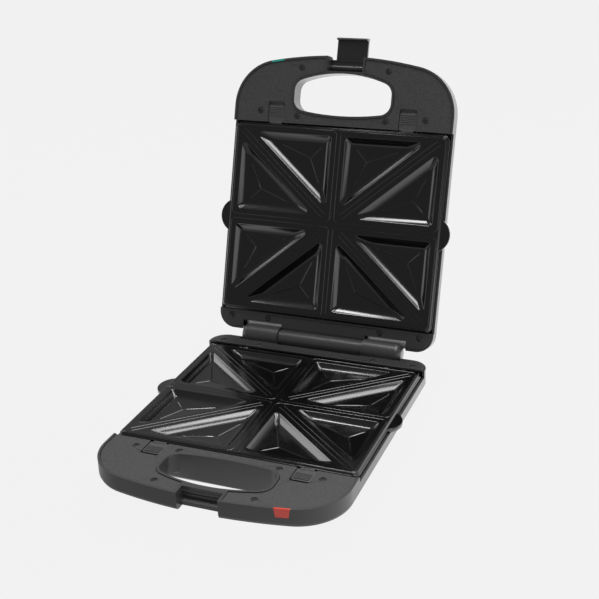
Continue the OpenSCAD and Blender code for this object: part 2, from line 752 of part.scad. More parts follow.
// Loop of tube with its two ends turned down at the back.
module heating_loop() {
  translate([0, 0, tube_z]) {
    for (s = [-1, 1]) {
      for (t = [-1, 1]) translate([s*(loop_x-loop_r), t*(loop_y-loop_r), 0])
        rotate([0, 0, s > 0 ? (t > 0 ? 0 : -90) : (t > 0 ? 90 : 180)])
          rotate_extrude(angle = 90) translate([loop_r, 0]) circle(r = tube_r, $fn = 24);
      translate([s*loop_x, 0, 0]) rotate([90, 0, 0])
        cylinder(r = tube_r, h = 2*(loop_y-loop_r), center = true, $fn = 24);
      translate([s*(end_x+end_bend_r), loop_y, 0]) rotate([0, s*90, 0])
        cylinder(r = tube_r, h = loop_x-loop_r-end_x-end_bend_r, $fn = 24);
      // elbow, downward end and its terminal
      translate([s*(end_x+end_bend_r), loop_y, -end_bend_r])
        rotate([0, 0, s > 0 ? 180 : 0]) rotate([90, 0, 0])
        rotate_extrude(angle = 90) translate([end_bend_r, 0])
        circle(r = tube_r, $fn = 24);
      translate([s*end_x, loop_y, -end_bend_r-1.5])
        cylinder(r = tube_r, h = 1.5, $fn = 24);
      translate([s*end_x, loop_y, -end_bend_r-2.7]) cylinder(r = 1.2, h = 3, $fn = 16);
    }
    translate([0, -loop_y, 0]) rotate([0, 90, 0])
      cylinder(r = tube_r, h = 2*(loop_x-loop_r), center = true, $fn = 24);
  }
}

// Sheet saddles that hold the loop down on the reflector.
module saddles() {
  for (s = [-1, 1]) translate([s*loop_x, 0, tube_z]) rotate([90, 0, 0])
    linear_extrude(12, center = true) difference() {
      union() {
        circle(r = tube_r+0.95, $fn = 32);
        translate([-11, reflector_z-tube_z]) square([22, 0.8]);
        translate([-tube_r-0.95, reflector_z-tube_z])
          square([2*tube_r+1.9, tube_z-reflector_z]);
      }
      circle(r = tube_r+0.15, $fn = 32);
      translate([-tube_r-0.15, reflector_z-tube_z-1])
        square([2*tube_r+0.3, tube_z-reflector_z+1]);
    }
}

module reflector() {
  difference() {
    translate([0, 0, reflector_z-sheet_t]) linear_extrude(reflector_wall_h)
      rounded_rect(reflector_w/2, -reflector_d/2, reflector_d/2, 12);
    translate([0, 0, reflector_z]) linear_extrude(40)
      rounded_rect(reflector_w/2-sheet_t, -reflector_d/2+sheet_t,
        reflector_d/2-sheet_t, 12-sheet_t);
    translate([0, 0, reflector_z-5]) cylinder(r = thermostat_r+0.4, h = 10);
    for (s = [-1, 1]) translate([s*(end_x+2), loop_y, reflector_z-5])
      cylinder(r = tube_r+3, h = 10);
  }
}

module lower_element() color([0.25, 0.25, 0.24]) in_base() heating_loop();

module upper_element() color([0.25, 0.25, 0.24]) in_lid() heating_loop();

module lower_saddles() color([0.6, 0.6, 0.6]) in_base() saddles();

module upper_saddles() color([0.6, 0.6, 0.6]) in_lid() saddles();

module lower_reflector() color([0.7, 0.7, 0.7]) in_base() reflector();

module upper_reflector() color([0.7, 0.7, 0.7]) in_lid() reflector();

module thermostat() color([0.85, 0.82, 0.75]) in_base() {
  translate([0, 0, reflector_z-4]) cylinder(r = thermostat_r, h = 9);
  translate([0, 0, reflector_z+5-0.01])
    cylinder(r = 4, h = -plate_t-1.4-0.3-reflector_z-5, $fn = 24);
  translate([0, 0, reflector_z-sheet_t-1.4]) cylinder(r = thermostat_r+3, h = 1.2);
}

module thermal_fuse() color([0.8, 0.8, 0.78]) in_base()
  translate([0, -38, reflector_z+2.3]) rotate([0, 90, 0])
    cylinder(r = 2.2, h = 24, center = true, $fn = 32);

// ---- small parts ----

module lens() {
  intersection() {
    translate([lens_x, -front_reach+5, 0]) lens_prism(0);
    translate([0, 0, -30]) linear_extrude(30+rim_z) difference() {
      body_outline(0);
      body_outline(wall-fit_gap);
    }
  }
}

module lamp() translate([lens_x, -front_reach+14.5, -8]) rotate([0, 90, 0]) {
  cylinder(r = 3, h = 12, center = true, $fn = 32);
  translate([0, 0, -6]) sphere(r = 3, $fn = 32);
}

// Bracket under the lamp is moulded with the lamp holder.
module lamp_holder() translate([lens_x, -front_reach+14.5, 0]) difference() {
  translate([-5, 1, -tray_h+wall+0.05]) cube([10, 4, tray_h-wall-8.65]);
  translate([0, 0, -8]) rotate([0, 90, 0]) cylinder(r = 3.05, h = 20, center = true);
}

module red_lens() color([0.8, 0.2, 0.17]) in_base() lens();

module green_lens() color([0.15, 0.65, 0.55]) in_lid() mirror([1, 0, 0]) lens();

module red_lamp() color([0.9, 0.6, 0.5]) in_base() {
  lamp();
  lamp_holder();
}

module green_lamp() color([0.6, 0.9, 0.7]) in_lid() mirror([1, 0, 0]) {
  lamp();
  lamp_holder();
}

module feet() color([0.07, 0.07, 0.07]) in_base()
  for (s = [-1, 1], t = [-1, 1])
    translate([s*foot_x, t*foot_y, -tray_h-tub_h-foot_h]) rotate_extrude($fn = 48)
      polygon([[0, 0], [foot_r-1.2, 0], [foot_r, 1.2], [foot_r, foot_h], [0, foot_h]]);

// Pan-head screw with a cross recess, its head seated at height z.
module screw(at, z) translate([at[0], at[1], z]) difference() {
  union() {
    cylinder(r = screw_r, h = 0.7, $fn = 32);
    translate([0, 0, 0.7]) cylinder(r1 = screw_r, r2 = screw_r-0.7, h = 0.4, $fn = 32);
    translate([0, 0, -shank_l]) cylinder(r = shank_r, h = shank_l+0.1, $fn = 24);
  }
  for (a = [0, 90]) rotate([0, 0, a+20]) translate([-1.7, -0.35, 0.4])
    cube([3.4, 0.7, 1]);
}

module half_screws(cover_z) {
  both_sides() {
    for (p = screw_at) screw(p, panel_z-seat_drop);
    for (p = cover_screw_at) screw(p, cover_z-seat_drop);
  }
}

module base_screws() color([0.3, 0.3, 0.3]) in_base() half_screws(cover_up);

module lid_screws() color([0.3, 0.3, 0.3]) in_lid() half_screws(-cover_down);

module hinge_pins() color([0.7, 0.7, 0.7]) in_base()
  both_sides() translate([barrel_x-hinge_pin_l/2+0.4, hinge_y, hinge_z])
    rotate([0, 90, 0]) cylinder(r = hinge_pin_r, h = hinge_pin_l);

module cord_gland() color([0.08, 0.08, 0.08]) in_base()
  translate([gland_x, rear_y, gland_z]) rotate([-90, 0, 0]) rotate_extrude($fn = 48)
    polygon([[gland_bore, -wall-2], [gland_bore+3, -wall-2],
      [gland_bore+3, -wall-0.35], [gland_bore+2.2, -wall-0.35],
      [gland_bore+2.2, 0.2], [gland_bore+3.6, 0.2], [gland_bore+2.8, 2.4],
      [gland_bore, 2.8]]);

// ---- release clips ----

module clip() translate([clip_x, 0, 0]) {
  // slider that runs in the panel's opening
  translate([0, 0, slide_z+fit_gap-0.02])
    linear_extrude(clip_top-slide_z-fit_gap) {
      for (t = [-1, 1]) translate([t*(clip_w/2-fit_gap-clip_r), clip_end+clip_r])
        circle(r = clip_r, $fn = 32);
      translate([-clip_w/2+fit_gap+clip_r, clip_end])
        square([clip_w-2*fit_gap-2*clip_r, clip_r]);
      translate([-clip_w/2+fit_gap, clip_end+clip_r])
        square([clip_w-2*fit_gap, panel_y-0.2-clip_end-clip_r]);
    }
  // foot under the panel
  translate([-clip_w/2-2, lug_y, slide_z-foot_t]) cube([clip_w+4, foot_l, foot_t]);
  // neck between foot and slider, shorter than the slider so that it passes too
  translate([-clip_w/2+2, clip_end+clip_r, slide_z-0.1])
    cube([clip_w-4, lug_y+foot_l-1-clip_end-clip_r, 0.5]);
  // lug that the spring pushes
  translate([-5, lug_y, spring_z-3.5]) cube([10, 2.2, slide_z-spring_z+3]);
  // tongue that bears on the plate's skirt
  translate([-7, panel_y-1, slide_z]) cube([14, 1-plate_y-panel_y-0.35, 2.2]);
  // ribbed thumb pad
  for (i = [0:5]) translate([-clip_w/2+2.2, clip_end+1.9+i*1.8, clip_top-0.1])
    cube([clip_w-4.4, 1.1, 0.9]);
}

// Coil from the lug to the stop: one tube, rings of six corners.
function coil_ring(i, n) = let (a = 360*spring_turns*i/n,
  c = [(spring_r-spring_wire/2)*cos(a), -spring_wire/2
    -(spring_l-spring_wire)*i/n, (spring_r-spring_wire/2)*sin(a)],
  o = [cos(a), 0, sin(a)])
  [for (k = [0:5]) c+spring_wire/2*(cos(60*k)*o+sin(60*k)*[0, 1, 0])];

module clip_spring() translate([clip_x, lug_y, spring_z]) {
  n = 12*spring_turns;
  pts = [for (i = [0:n]) for (p = coil_ring(i, n)) p];
  faces = concat(
    [for (i = [0:n-1], k = [0:5]) [i*6+k, i*6+(k+1)%6, (i+1)*6+k]],
    [for (i = [0:n-1], k = [0:5]) [i*6+(k+1)%6, (i+1)*6+(k+1)%6, (i+1)*6+k]],
    [[5, 4, 3, 2, 1, 0], [for (k = [0:5]) n*6+k]]);
  polyhedron(points = pts, faces = faces, convexity = 8);
}

echo(spring_gap = (spring_l-spring_wire)/spring_turns-spring_wire);

module lower_clip_right() color([0.13, 0.13, 0.13]) in_base() clip();

module lower_clip_left() color([0.13, 0.13, 0.13]) in_base() mirror([1, 0, 0]) clip();

module upper_clip_right() color([0.13, 0.13, 0.13]) in_lid() clip();

module upper_clip_left() color([0.13, 0.13, 0.13]) in_lid() mirror([1, 0, 0]) clip();

module lower_spring_right() color([0.7, 0.7, 0.7]) in_base() clip_spring();

module lower_spring_left() color([0.7, 0.7, 0.7]) in_base() mirror([1, 0, 0]) clip_spring();

module upper_spring_right() color([0.7, 0.7, 0.7]) in_lid() clip_spring();

module upper_spring_left() color([0.7, 0.7, 0.7]) in_lid() mirror([1, 0, 0]) clip_spring();

// ---- latch ----

// Side view of the latch, pin at the origin, blade hanging down as when shut.
module latch_profile() {
  o = latch_off;
  l = latch_tip;
  difference() {
    union() {
      circle(r = latch_barrel_r, $fn = 40);
      translate([-o-latch_t/2, -1.6]) square([o+latch_t/2, 3.2]);
      translate([-o-latch_t+1.6, 0]) circle(r = 1.6, $fn = 32);
      translate([-o-latch_t, -l+2]) square([latch_t, l-2]);
      polygon([[-o-latch_t, -l+3], [-o, -l+6], [-o, -l+latch_t],
        [-o+hook_reach-0.8, -l+latch_t], [-o+hook_reach, -l+latch_t-0.8],
        [-o+hook_reach-1.6, -l+0.6], [-o, -l], [-o-latch_t-1.4, -l],
        [-o-latch_t-1.4, -l+1]]);
    }
    circle(r = latch_pin_r+pin_gap, $fn = 32);
  }
}

module latch() color([0.08, 0.08, 0.08]) in_lid()
  translate([0, -latch_y, lid_gap-latch_z]) mirror([0, 0, 1]) rotate([-90, 0, 0])
    rotate([90, 0, 90]) {
      linear_extrude(2*latch_x, center = true) latch_profile();
      linear_extrude(2*(notch_x-fit_gap), center = true) difference() {
        union() {
          circle(r = latch_barrel_r, $fn = 40);
          translate([-latch_barrel_r+0.6, -latch_root])
            square([2*latch_barrel_r-2.2, latch_root]);
          translate([-latch_barrel_r+0.6, -latch_root])
            square([2*latch_barrel_r-1.2, 1.2]);
        }
        circle(r = latch_pin_r+pin_gap, $fn = 32);
      }
    }

module latch_pin() color([0.7, 0.7, 0.7]) in_lid()
  translate([-notch_x-1.8, -latch_y, lid_gap-latch_z]) rotate([0, 90, 0])
    cylinder(r = latch_pin_r, h = 2*notch_x+3.6, $fn = 32);

base_shell();
base_panel();
base_hinge_cover();
lower_plate();
lower_element();
lower_saddles();
lower_reflector();
thermostat();
thermal_fuse();
red_lens();
red_lamp();
feet();
base_screws();
lower_clip_left();
lower_clip_right();
lower_spring_left();
lower_spring_right();
hinge_pins();
cord_gland();
lid_shell();
lid_panel();
lid_hinge_cover();
upper_plate();
upper_element();
upper_saddles();
upper_reflector();
green_lens();
green_lamp();
lid_screws();
upper_clip_left();
upper_clip_right();
upper_spring_left();
upper_spring_right();
latch();
latch_pin();
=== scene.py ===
import json
import math

import bmesh
import bpy
from mathutils import Matrix, Vector
from mathutils.geometry import delaunay_2d_cdt


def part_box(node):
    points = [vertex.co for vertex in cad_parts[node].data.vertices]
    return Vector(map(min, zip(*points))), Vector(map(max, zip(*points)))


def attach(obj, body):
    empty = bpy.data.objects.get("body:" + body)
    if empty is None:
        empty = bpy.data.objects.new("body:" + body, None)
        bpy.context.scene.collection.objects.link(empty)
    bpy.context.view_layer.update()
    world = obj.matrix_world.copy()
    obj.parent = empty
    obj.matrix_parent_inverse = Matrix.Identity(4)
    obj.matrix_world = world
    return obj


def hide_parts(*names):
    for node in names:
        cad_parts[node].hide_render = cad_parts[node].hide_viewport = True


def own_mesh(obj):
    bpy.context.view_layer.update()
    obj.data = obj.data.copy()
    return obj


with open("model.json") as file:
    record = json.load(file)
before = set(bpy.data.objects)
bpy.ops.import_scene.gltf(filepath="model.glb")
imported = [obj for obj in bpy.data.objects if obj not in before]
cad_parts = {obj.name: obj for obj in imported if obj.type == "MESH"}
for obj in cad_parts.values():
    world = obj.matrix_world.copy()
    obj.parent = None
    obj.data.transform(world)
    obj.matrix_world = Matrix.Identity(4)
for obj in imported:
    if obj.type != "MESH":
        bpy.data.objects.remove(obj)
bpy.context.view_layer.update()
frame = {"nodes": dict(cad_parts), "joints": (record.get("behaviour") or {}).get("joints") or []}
nodes = frame["nodes"]

# Camera: the photograph looks down on the open toaster from its front right
# corner, a little rolled. Lens and place come from a fit on the object's edges.
look_at = Vector((0.0207, -0.0155, 0.1448))
camera_turn = math.radians(22.28)
camera_rise = math.radians(23.38)
camera_roll = math.radians(-2.08)
camera_away = 1.1255
camera_lens = 67.31
camera_sensor = 36.0
camera_sight = 30.0

away = Vector((
    math.sin(camera_turn) * math.cos(camera_rise),
    -math.cos(camera_turn) * math.cos(camera_rise),
    math.sin(camera_rise),
))
level_right = Vector((math.cos(camera_turn), math.sin(camera_turn), 0.0))
level_up = away.cross(level_right)
right = level_right * math.cos(camera_roll) + level_up * math.sin(camera_roll)
up = away.cross(right)
camera_data = bpy.data.cameras.new("photo_camera")
camera_data.lens = camera_lens
camera_data.sensor_width = camera_sensor
camera_data.clip_end = camera_sight
camera = bpy.data.objects.new("photo_camera", camera_data)
bpy.context.scene.collection.objects.link(camera)
camera_axes = Matrix((right, up, away)).transposed().to_4x4()
camera.matrix_world = Matrix.Translation(look_at + away * camera_away) @ camera_axes
bpy.context.scene.camera = camera


# Room: dim in front of the object, a little paler behind it and bright at the rear
# right, as the object's gloss shows it. The camera itself sees an even pale wall.
def shade_along(tree, place, direction, start, end):
    """Brightness that changes along a direction; start and end are (where, how bright)."""
    lean = tree.nodes.new("ShaderNodeVectorMath")
    lean.operation = "DOT_PRODUCT"
    lean.inputs[1].default_value = direction
    tree.links.new(place, lean.inputs[0])
    ramp = tree.nodes.new("ShaderNodeMapRange")
    tree.links.new(lean.outputs["Value"], ramp.inputs["Value"])
    for label, size in zip(("From Min", "To Min", "From Max", "To Max"), (*start, *end)):
        ramp.inputs[label].default_value = size
    return ramp.outputs["Result"]


def plain_to_camera(tree, brightness, backdrop):
    """One even brightness where the camera looks at it, and another for all other rays."""
    ray = tree.nodes.new("ShaderNodeLightPath")
    mix = tree.nodes.new("ShaderNodeMix")
    mix.inputs["B"].default_value = backdrop
    tree.links.new(ray.outputs["Is Camera Ray"], mix.inputs["Factor"])
    tree.links.new(brightness, mix.inputs["A"])
    return mix.outputs["Result"]


wall_brightness = 0.878
world = bpy.data.worlds.new("studio_room")
world.use_nodes = True
room = world.node_tree
room_way = room.nodes.new("ShaderNodeTexCoord").outputs["Generated"]
room_rear = shade_along(room, room_way, (0.0, 1.0, 0.0), start=(-0.9, 0.25), end=(0.85, 0.37))
room_corner = shade_along(room, room_way, (0.6, 0.8, -0.2), start=(0.55, 0.0), end=(0.8, 1.5))
room_sum = room.nodes.new("ShaderNodeMath")
room_sum.operation = "ADD"
room.links.new(room_rear, room_sum.inputs[0])
room.links.new(room_corner, room_sum.inputs[1])
room_seen = plain_to_camera(room, room_sum.outputs["Value"], wall_brightness)
room.links.new(room_seen, room.nodes["Background"].inputs["Color"])
bpy.context.scene.world = world
bpy.context.scene.view_settings.view_transform = "Standard"

# Floor: a pale sweep that glows, as a lit product table does, so that the object throws
# hardly any shadow. It glows most behind the object's right side.
floor_radius = 12.0
floor_brightness = 0.87
floor_mesh = bpy.data.meshes.new("floor")
floor_bm = bmesh.new()
bmesh.ops.create_circle(floor_bm, cap_ends=True, segments=64, radius=floor_radius)
floor_bm.to_mesh(floor_mesh)
floor_bm.free()
floor = bpy.data.objects.new("floor", floor_mesh)
bpy.context.scene.collection.objects.link(floor)
floor_finish = bpy.data.materials.new("floor_finish")
floor_finish.use_nodes = True
table = floor_finish.node_tree
floor_shader = table.nodes["Principled BSDF"]
floor_shader.inputs["Base Color"].default_value = (0.012, 0.012, 0.012, 1.0)
floor_shader.inputs["Roughness"].default_value = 0.9
floor_shader.inputs["Specular IOR Level"].default_value = 0.0
floor_shader.inputs["Emission Strength"].default_value = 1.0
table_place = table.nodes.new("ShaderNodeTexCoord").outputs["Object"]
table_glow = shade_along(table, table_place, (0.45, 0.9, 0.0), start=(-0.25, 0.55), end=(0.12, 2.1))
table_seen = plain_to_camera(table, table_glow, floor_brightness)
table.links.new(table_seen, floor_shader.inputs["Emission Color"])
floor_mesh.materials.append(floor_finish)


# Lights: softboxes round the object, each placed where one kind of pocket wall or
# moulding shows it as a highlight in the photograph.
def softbox(name, place, aim, width, depth, power):
    """A softbox at a place, facing a point, itself out of the picture."""
    data = bpy.data.lights.new(name, "AREA")
    data.shape = "RECTANGLE"
    data.size = width
    data.size_y = depth
    data.energy = power
    lamp = bpy.data.objects.new(name, data)
    bpy.context.scene.collection.objects.link(lamp)
    lamp.location = place
    lamp.rotation_mode = "QUATERNION"
    lamp.rotation_quaternion = (Vector(aim) - Vector(place)).to_track_quat("-Z", "Y")
    lamp.visible_camera = False


softbox("overhead_softbox", (0.38, 0.4, 2.0), (0.36, 0.4, 0.0), width=0.66, depth=0.95, power=19.0)
softbox("front_softbox", (0.7, -0.4, 2.0), (0.68, -0.4, 0.0), width=0.42, depth=0.62, power=10.0)
softbox("overhead_strip", (-0.47, 0.1, 1.95), (-0.1, 0.1, 0.15), width=0.36, depth=0.2, power=5.0)
softbox("left_softbox", (-1.56, 0.42, 1.16), (0.0, 0.1, 0.2), width=0.6, depth=0.6, power=4.5)
softbox("low_left_softbox", (-1.85, -0.6, 0.35), (0.0, 0.0, 0.15), width=0.9, depth=0.9, power=4.0)
softbox("low_right_softbox", (1.7, -1.05, 0.4), (0.0, 0.1, 0.15), width=0.7, depth=0.7, power=2.6)
softbox("rear_softbox", (0.1, 1.35, 1.95), (0.0, -0.05, 0.1), width=1.2, depth=0.9, power=12.0)

# Cooking plates: each is one aluminium casting with black non-stick coating, eight
# pockets in two squares, sealing grooves on its ribs and a finger ear on each side.
# Two tabs at the rear hold it under the hinge cover, and the clips hold its front.

# Sizes of this section are in millimetres, from the plate's middle and its cooking side.
MM = 0.001
plate_low, plate_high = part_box("lower_plate")
plate_half_w = 125.5
plate_half_d = 107.25
plate_middle_y = plate_low.y + plate_half_d * MM
plate_top_z = plate_high.z
lid_joint = [joint for joint in frame["joints"] if joint["name"] == "lid_hinge"][0]
hinge_point = Vector(lid_joint["pos_m"])
open_angle = math.radians(-lid_joint["range_deg"][0])
lid_gap = 1.0

base_place = Matrix.Translation((0.0, plate_middle_y, plate_top_z)) @ Matrix.Scale(MM, 4)
lid_place = (
    Matrix.Translation(hinge_point)
    @ Matrix.Rotation(-open_angle, 4, "X")
    @ Matrix.Translation(-hinge_point)
    @ Matrix.Translation((0.0, plate_middle_y, plate_top_z + lid_gap * MM))
    @ Matrix.Scale(MM, 4)
    @ Matrix.Scale(-1.0, 4, (0.0, 0.0, 1.0))
)

ear_r = 19.5
ear_reach = 10.0
plate_corner_r = 7.0
skirt_h = 5.5
skirt_t = 2.4
tab_size = Vector((16.0, 5.0, 2.2))
tab_x = 84.0
tab_overlap = 0.4
lower_tab_top = -0.2
upper_tab_top = -5.2

# Pockets of one quarter of the plate: a square cell halved by a slanted rib.
rib_half = 8.3
rib_way = Vector((120.5, 103.25)).normalized()
long_rib_half = 8.0
cross_rib_half = 8.7
pocket_end_y = 97.75
pocket_side_x = 115.5
end_pocket = [
    Vector((long_rib_half, pocket_end_y)),
    Vector((long_rib_half, (rib_half + rib_way.y * long_rib_half) / rib_way.x)),
    Vector(((rib_way.x * pocket_end_y - rib_half) / rib_way.y, pocket_end_y)),
]
side_pocket = [
    Vector((pocket_side_x, cross_rib_half)),
    Vector((pocket_side_x, (rib_way.y * pocket_side_x - rib_half) / rib_way.x)),
    Vector(((rib_half + rib_way.x * cross_rib_half) / rib_way.y, cross_rib_half)),
]
quarters = [(flip_x, flip_y) for flip_x in (-1.0, 1.0) for flip_y in (-1.0, 1.0)]

# Pocket wall from rim to floor: inset from the rim, corner radius, height.
pocket_levels = [
    (-0.9, 4.3, 0.0), (-0.4, 4.0, -0.03), (-0.05, 3.8, -0.14), (0.3, 3.7, -0.4),
    (0.7, 3.65, -0.8), (1.5, 3.6, -1.68), (2.7, 3.5, -2.84), (3.9, 3.4, -3.84),
    (5.0, 3.3, -4.7), (6.0, 3.2, -5.32), (7.0, 3.1, -5.72), (7.8, 3.0, -5.92),
]
pocket_low = -7.6
# Pocket floor: an even start inside the walls, then three raised creases.
floor_start = 8.6
floor_corner_r = 2.9
crease_start = 11.0
crease_end = 0.5
crease_slope = 0.15
crease_half = 0.8
crease_rise = 0.5
crease_foot = 0.3
# The same on the underside, which follows the pockets with thicker, rounder walls.
under_top = -2.6
under_levels = [(-2.9, 5.6, -2.6), (-1.9, 4.8, -3.0), (1.2, 3.4, -5.6), (4.4, 2.0, -7.8)]
under_low = -10.6

# Sealing grooves: half width outside the groove's own half width, height.
groove_half = 0.3
groove_levels = [(0.5, 0.0), (0.25, 0.0), (0.05, -0.08), (-0.12, -0.24)]
square_low = Vector((2.5, 2.5))
square_high = Vector((121.6, 104.2))
square_corner_r = 5.0
rib_groove_shift = 2.6
rib_groove_start = 15.0
rib_groove_end = 150.5

# Border outside the squares: it rolls down to a flat edge, which the ears continue.
border_levels = [(122.75, 105.3, 0.0), (123.0, 105.45, -0.06), (123.5, 105.75, -0.5),
                 (124.0, 106.05, -1.05), (124.35, 106.25, -1.55), (124.55, 106.35, -1.75)]
border_corner_r = 5.5
border_edge = [(0.7, -1.8), (0.4, -1.85), (0.12, -2.05), (0.0, -2.4)]


def round_point(centre, angle, radius):
    """The point of a circle at an angle."""
    return centre + Vector((math.cos(angle), math.sin(angle))) * radius


def tucked_corner(triangle, index, inset):
    """The corner of a triangle moved to lie an inset inside both of its sides."""
    corner = triangle[index]
    one = (triangle[(index + 1) % 3] - corner).normalized()
    other = (triangle[(index + 2) % 3] - corner).normalized()
    half = math.acos(max(-1.0, min(1.0, one.dot(other)))) / 2.0
    return corner + (one + other).normalized() * inset / math.sin(half)


def pocket_ring(triangle, inset, radius, steps=7):
    """Outline of a triangular pocket with rounded corners, at an inset."""
    ring = []
    for index in range(3):
        before = triangle[(index + 2) % 3]
        corner = triangle[index]
        after = triangle[(index + 1) % 3]
        into = corner - before
        out = after - corner
        turn = into.x * out.y - into.y * out.x
        side = 1.0 if turn > 0.0 else -1.0
        start = math.atan2(-side * into.x, side * into.y)
        sweep = math.atan2(turn, into.dot(out))
        centre = tucked_corner(triangle, index, inset + radius)
        for step in range(steps + 1):
            ring.append(round_point(centre, start + sweep * step / steps, radius))
    return ring


def plate_ring(inset, steps=8):
    """Outline of the plate with its two ears, at an inset."""
    ring = []
    corner = plate_corner_r - inset
    ear = ear_r - inset
    ear_x = plate_half_w + ear_reach - ear_r
    chord = math.sqrt(ear * ear - (plate_half_w - inset - ear_x) ** 2)
    reach = math.asin(chord / ear)
    for quarter in range(4):
        side_x = 1.0 if quarter in (0, 3) else -1.0
        side_y = 1.0 if quarter < 2 else -1.0
        if quarter in (0, 2):
            facing = 0.0 if quarter == 0 else math.pi
            for step in range(2 * steps + 1):
                angle = facing - reach + 2.0 * reach * step / (2 * steps)
                ring.append(Vector((
                    ear_x * side_x + ear * math.cos(angle), ear * math.sin(angle)
                )))
        centre = Vector((
            side_x * (plate_half_w - inset - corner), side_y * (plate_half_d - inset - corner)
        ))
        for step in range(steps + 1):
            ring.append(round_point(centre, (quarter + step / steps) * math.pi / 2.0, corner))
    return ring


def box_ring(low, high, radius, steps=6):
    """Outline of a rectangle with rounded corners."""
    ring = []
    for quarter in range(4):
        centre = Vector((
            high.x - radius if quarter in (0, 3) else low.x + radius,
            high.y - radius if quarter < 2 else low.y + radius,
        ))
        for step in range(steps + 1):
            ring.append(round_point(centre, (quarter + step / steps) * math.pi / 2.0, radius))
    return ring


def groove_ring(start, end, half, steps=4):
    """Outline of a straight groove with round ends."""
    along = (end - start).normalized()
    across = Vector((-along.y, along.x))
    ring = []
    for middle, way in ((start, -1.0), (end, 1.0)):
        for step in range(steps + 1):
            angle = math.pi * (step / steps - 0.5)
            ring.append(middle + way * (along * math.cos(angle) * half
                                        + across * math.sin(angle) * half))
    return ring


def mirrored(ring, flip_x, flip_y):
    """The same outline in another quarter of the plate."""
    return [Vector((p.x * flip_x, p.y * flip_y)) for p in ring]


def contour_sheet(lines):
    """A sheet through outlines, each given as (points, heights, closed).

    No bmesh operator makes a casting's surface from its height lines, so the faces
    come from a triangulation that keeps each line as edges.
    """
    points = []
    heights = []
    edges = []
    for line, line_heights, closed in lines:
        first = len(points)
        count = len(line)
        points += line
        if isinstance(line_heights, float):
            line_heights = [line_heights] * count
        heights += line_heights
        edges += [(first + k, first + k + 1) for k in range(count - 1)]
        if closed and count > 2:
            edges.append((first + count - 1, first))
    placed, _, faces, sources, _, _ = delaunay_2d_cdt(points, edges, [], 1, 0.0001)
    sheet = bmesh.new()
    corners = []
    for spot, source in zip(placed, sources):
        height = heights[source[0]] if source else 0.0
        corners.append(sheet.verts.new((spot.x, spot.y, height)))
    for face in faces:
        sheet.faces.new([corners[k] for k in face])
    return sheet


def lowest_point(triangle):
    """Where the lines that halve a triangle's corners meet, and how far from its sides."""
    one = (triangle[1] - triangle[2]).length
    two = (triangle[2] - triangle[0]).length
    three = (triangle[0] - triangle[1]).length
    whole = one + two + three
    spot = (triangle[0] * one + triangle[1] * two + triangle[2] * three) / whole
    across = triangle[1] - triangle[0]
    out = triangle[2] - triangle[0]
    return spot, abs(across.x * out.y - across.y * out.x) / whole


def floor_height(triangle, inset):
    """Height of a pocket's floor at an inset from its walls."""
    foot_inset, _, foot_height = pocket_levels[-1]
    _, reach = lowest_point(triangle)
    return foot_height + (pocket_low - foot_height) * (inset - foot_inset) / (reach - foot_inset)


def floor_creases(triangle):
    """Raised creases of a pocket's floor, from its corners to its lowest point."""
    low, reach = lowest_point(triangle)
    floor_ring = pocket_ring(triangle, floor_start, floor_corner_r)
    lines = [(floor_ring, floor_height(triangle, floor_start), True)]
    start = crease_start / reach
    for corner in triangle:
        run = (low - corner).length
        along = (low - corner) / run
        across = Vector((-along.y, along.x))
        for shift, rise in ((0.0, crease_rise), (crease_half * 0.5, crease_rise * 0.75),
                            (crease_half, 0.0), (crease_half + crease_foot, 0.0)):
            for side in (-1.0, 1.0) if shift else (1.0,):
                ridge = []
                ridge_heights = []
                end = 1.0 - (shift + crease_end) / run
                for share in (start, start + crease_slope, 0.55, 0.8, end):
                    ridge.append(corner + along * run * share + across * shift * side)
                    lift = 0.0 if share == start else rise
                    ridge_heights.append(floor_height(triangle, reach * share) + lift)
                lines.append((ridge, ridge_heights, False))
    lines.append(([low], pocket_low + crease_rise, False))
    return lines


def plate_top_lines():
    """All outlines of the cooking side, each with its heights."""
    lines = []
    for reach_x, reach_y, height in border_levels:
        reach = Vector((reach_x, reach_y))
        lines.append((box_ring(-reach, reach, border_corner_r), height, True))
    for inset, height in border_edge:
        lines.append((plate_ring(inset), height, True))
    across = Vector((-rib_way.y, rib_way.x))
    for flip_x, flip_y in quarters:
        for triangle in (end_pocket, side_pocket):
            for inset, radius, height in pocket_levels:
                ring = pocket_ring(triangle, inset, radius)
                lines.append((mirrored(ring, flip_x, flip_y), height, True))
            for crease, heights, closed in floor_creases(triangle):
                lines.append((mirrored(crease, flip_x, flip_y), heights, closed))
        # sealing groove round each square
        for out, height in groove_levels:
            grow = Vector((groove_half + out, groove_half + out))
            for sign in (-1.0, 1.0):
                ring = box_ring(square_low - grow * sign, square_high + grow * sign,
                                square_corner_r + sign * grow.x)
                lines.append((mirrored(ring, flip_x, flip_y), height, True))
        # two grooves along the slanted rib
        for shift in (-rib_groove_shift, rib_groove_shift):
            start = rib_way * rib_groove_start + across * shift
            end = rib_way * rib_groove_end + across * shift
            for out, height in groove_levels:
                ring = groove_ring(start, end, groove_half + out)
                lines.append((mirrored(ring, flip_x, flip_y), height, True))
    return lines


def plate_under_lines():
    """All outlines of the underside, each with its heights."""
    lines = [(plate_ring(skirt_t), under_top, True)]
    for flip_x, flip_y in quarters:
        for triangle in (end_pocket, side_pocket):
            for inset, radius, height in under_levels:
                ring = pocket_ring(triangle, inset, radius, 4)
                lines.append((mirrored(ring, flip_x, flip_y), height, True))
            low, _ = lowest_point(triangle)
            lines.append((mirrored([low], flip_x, flip_y), under_low, False))
    return lines


def open_edges(sheet):
    """The edges at the border of a sheet."""
    return [edge for edge in sheet.edges if edge.is_boundary]


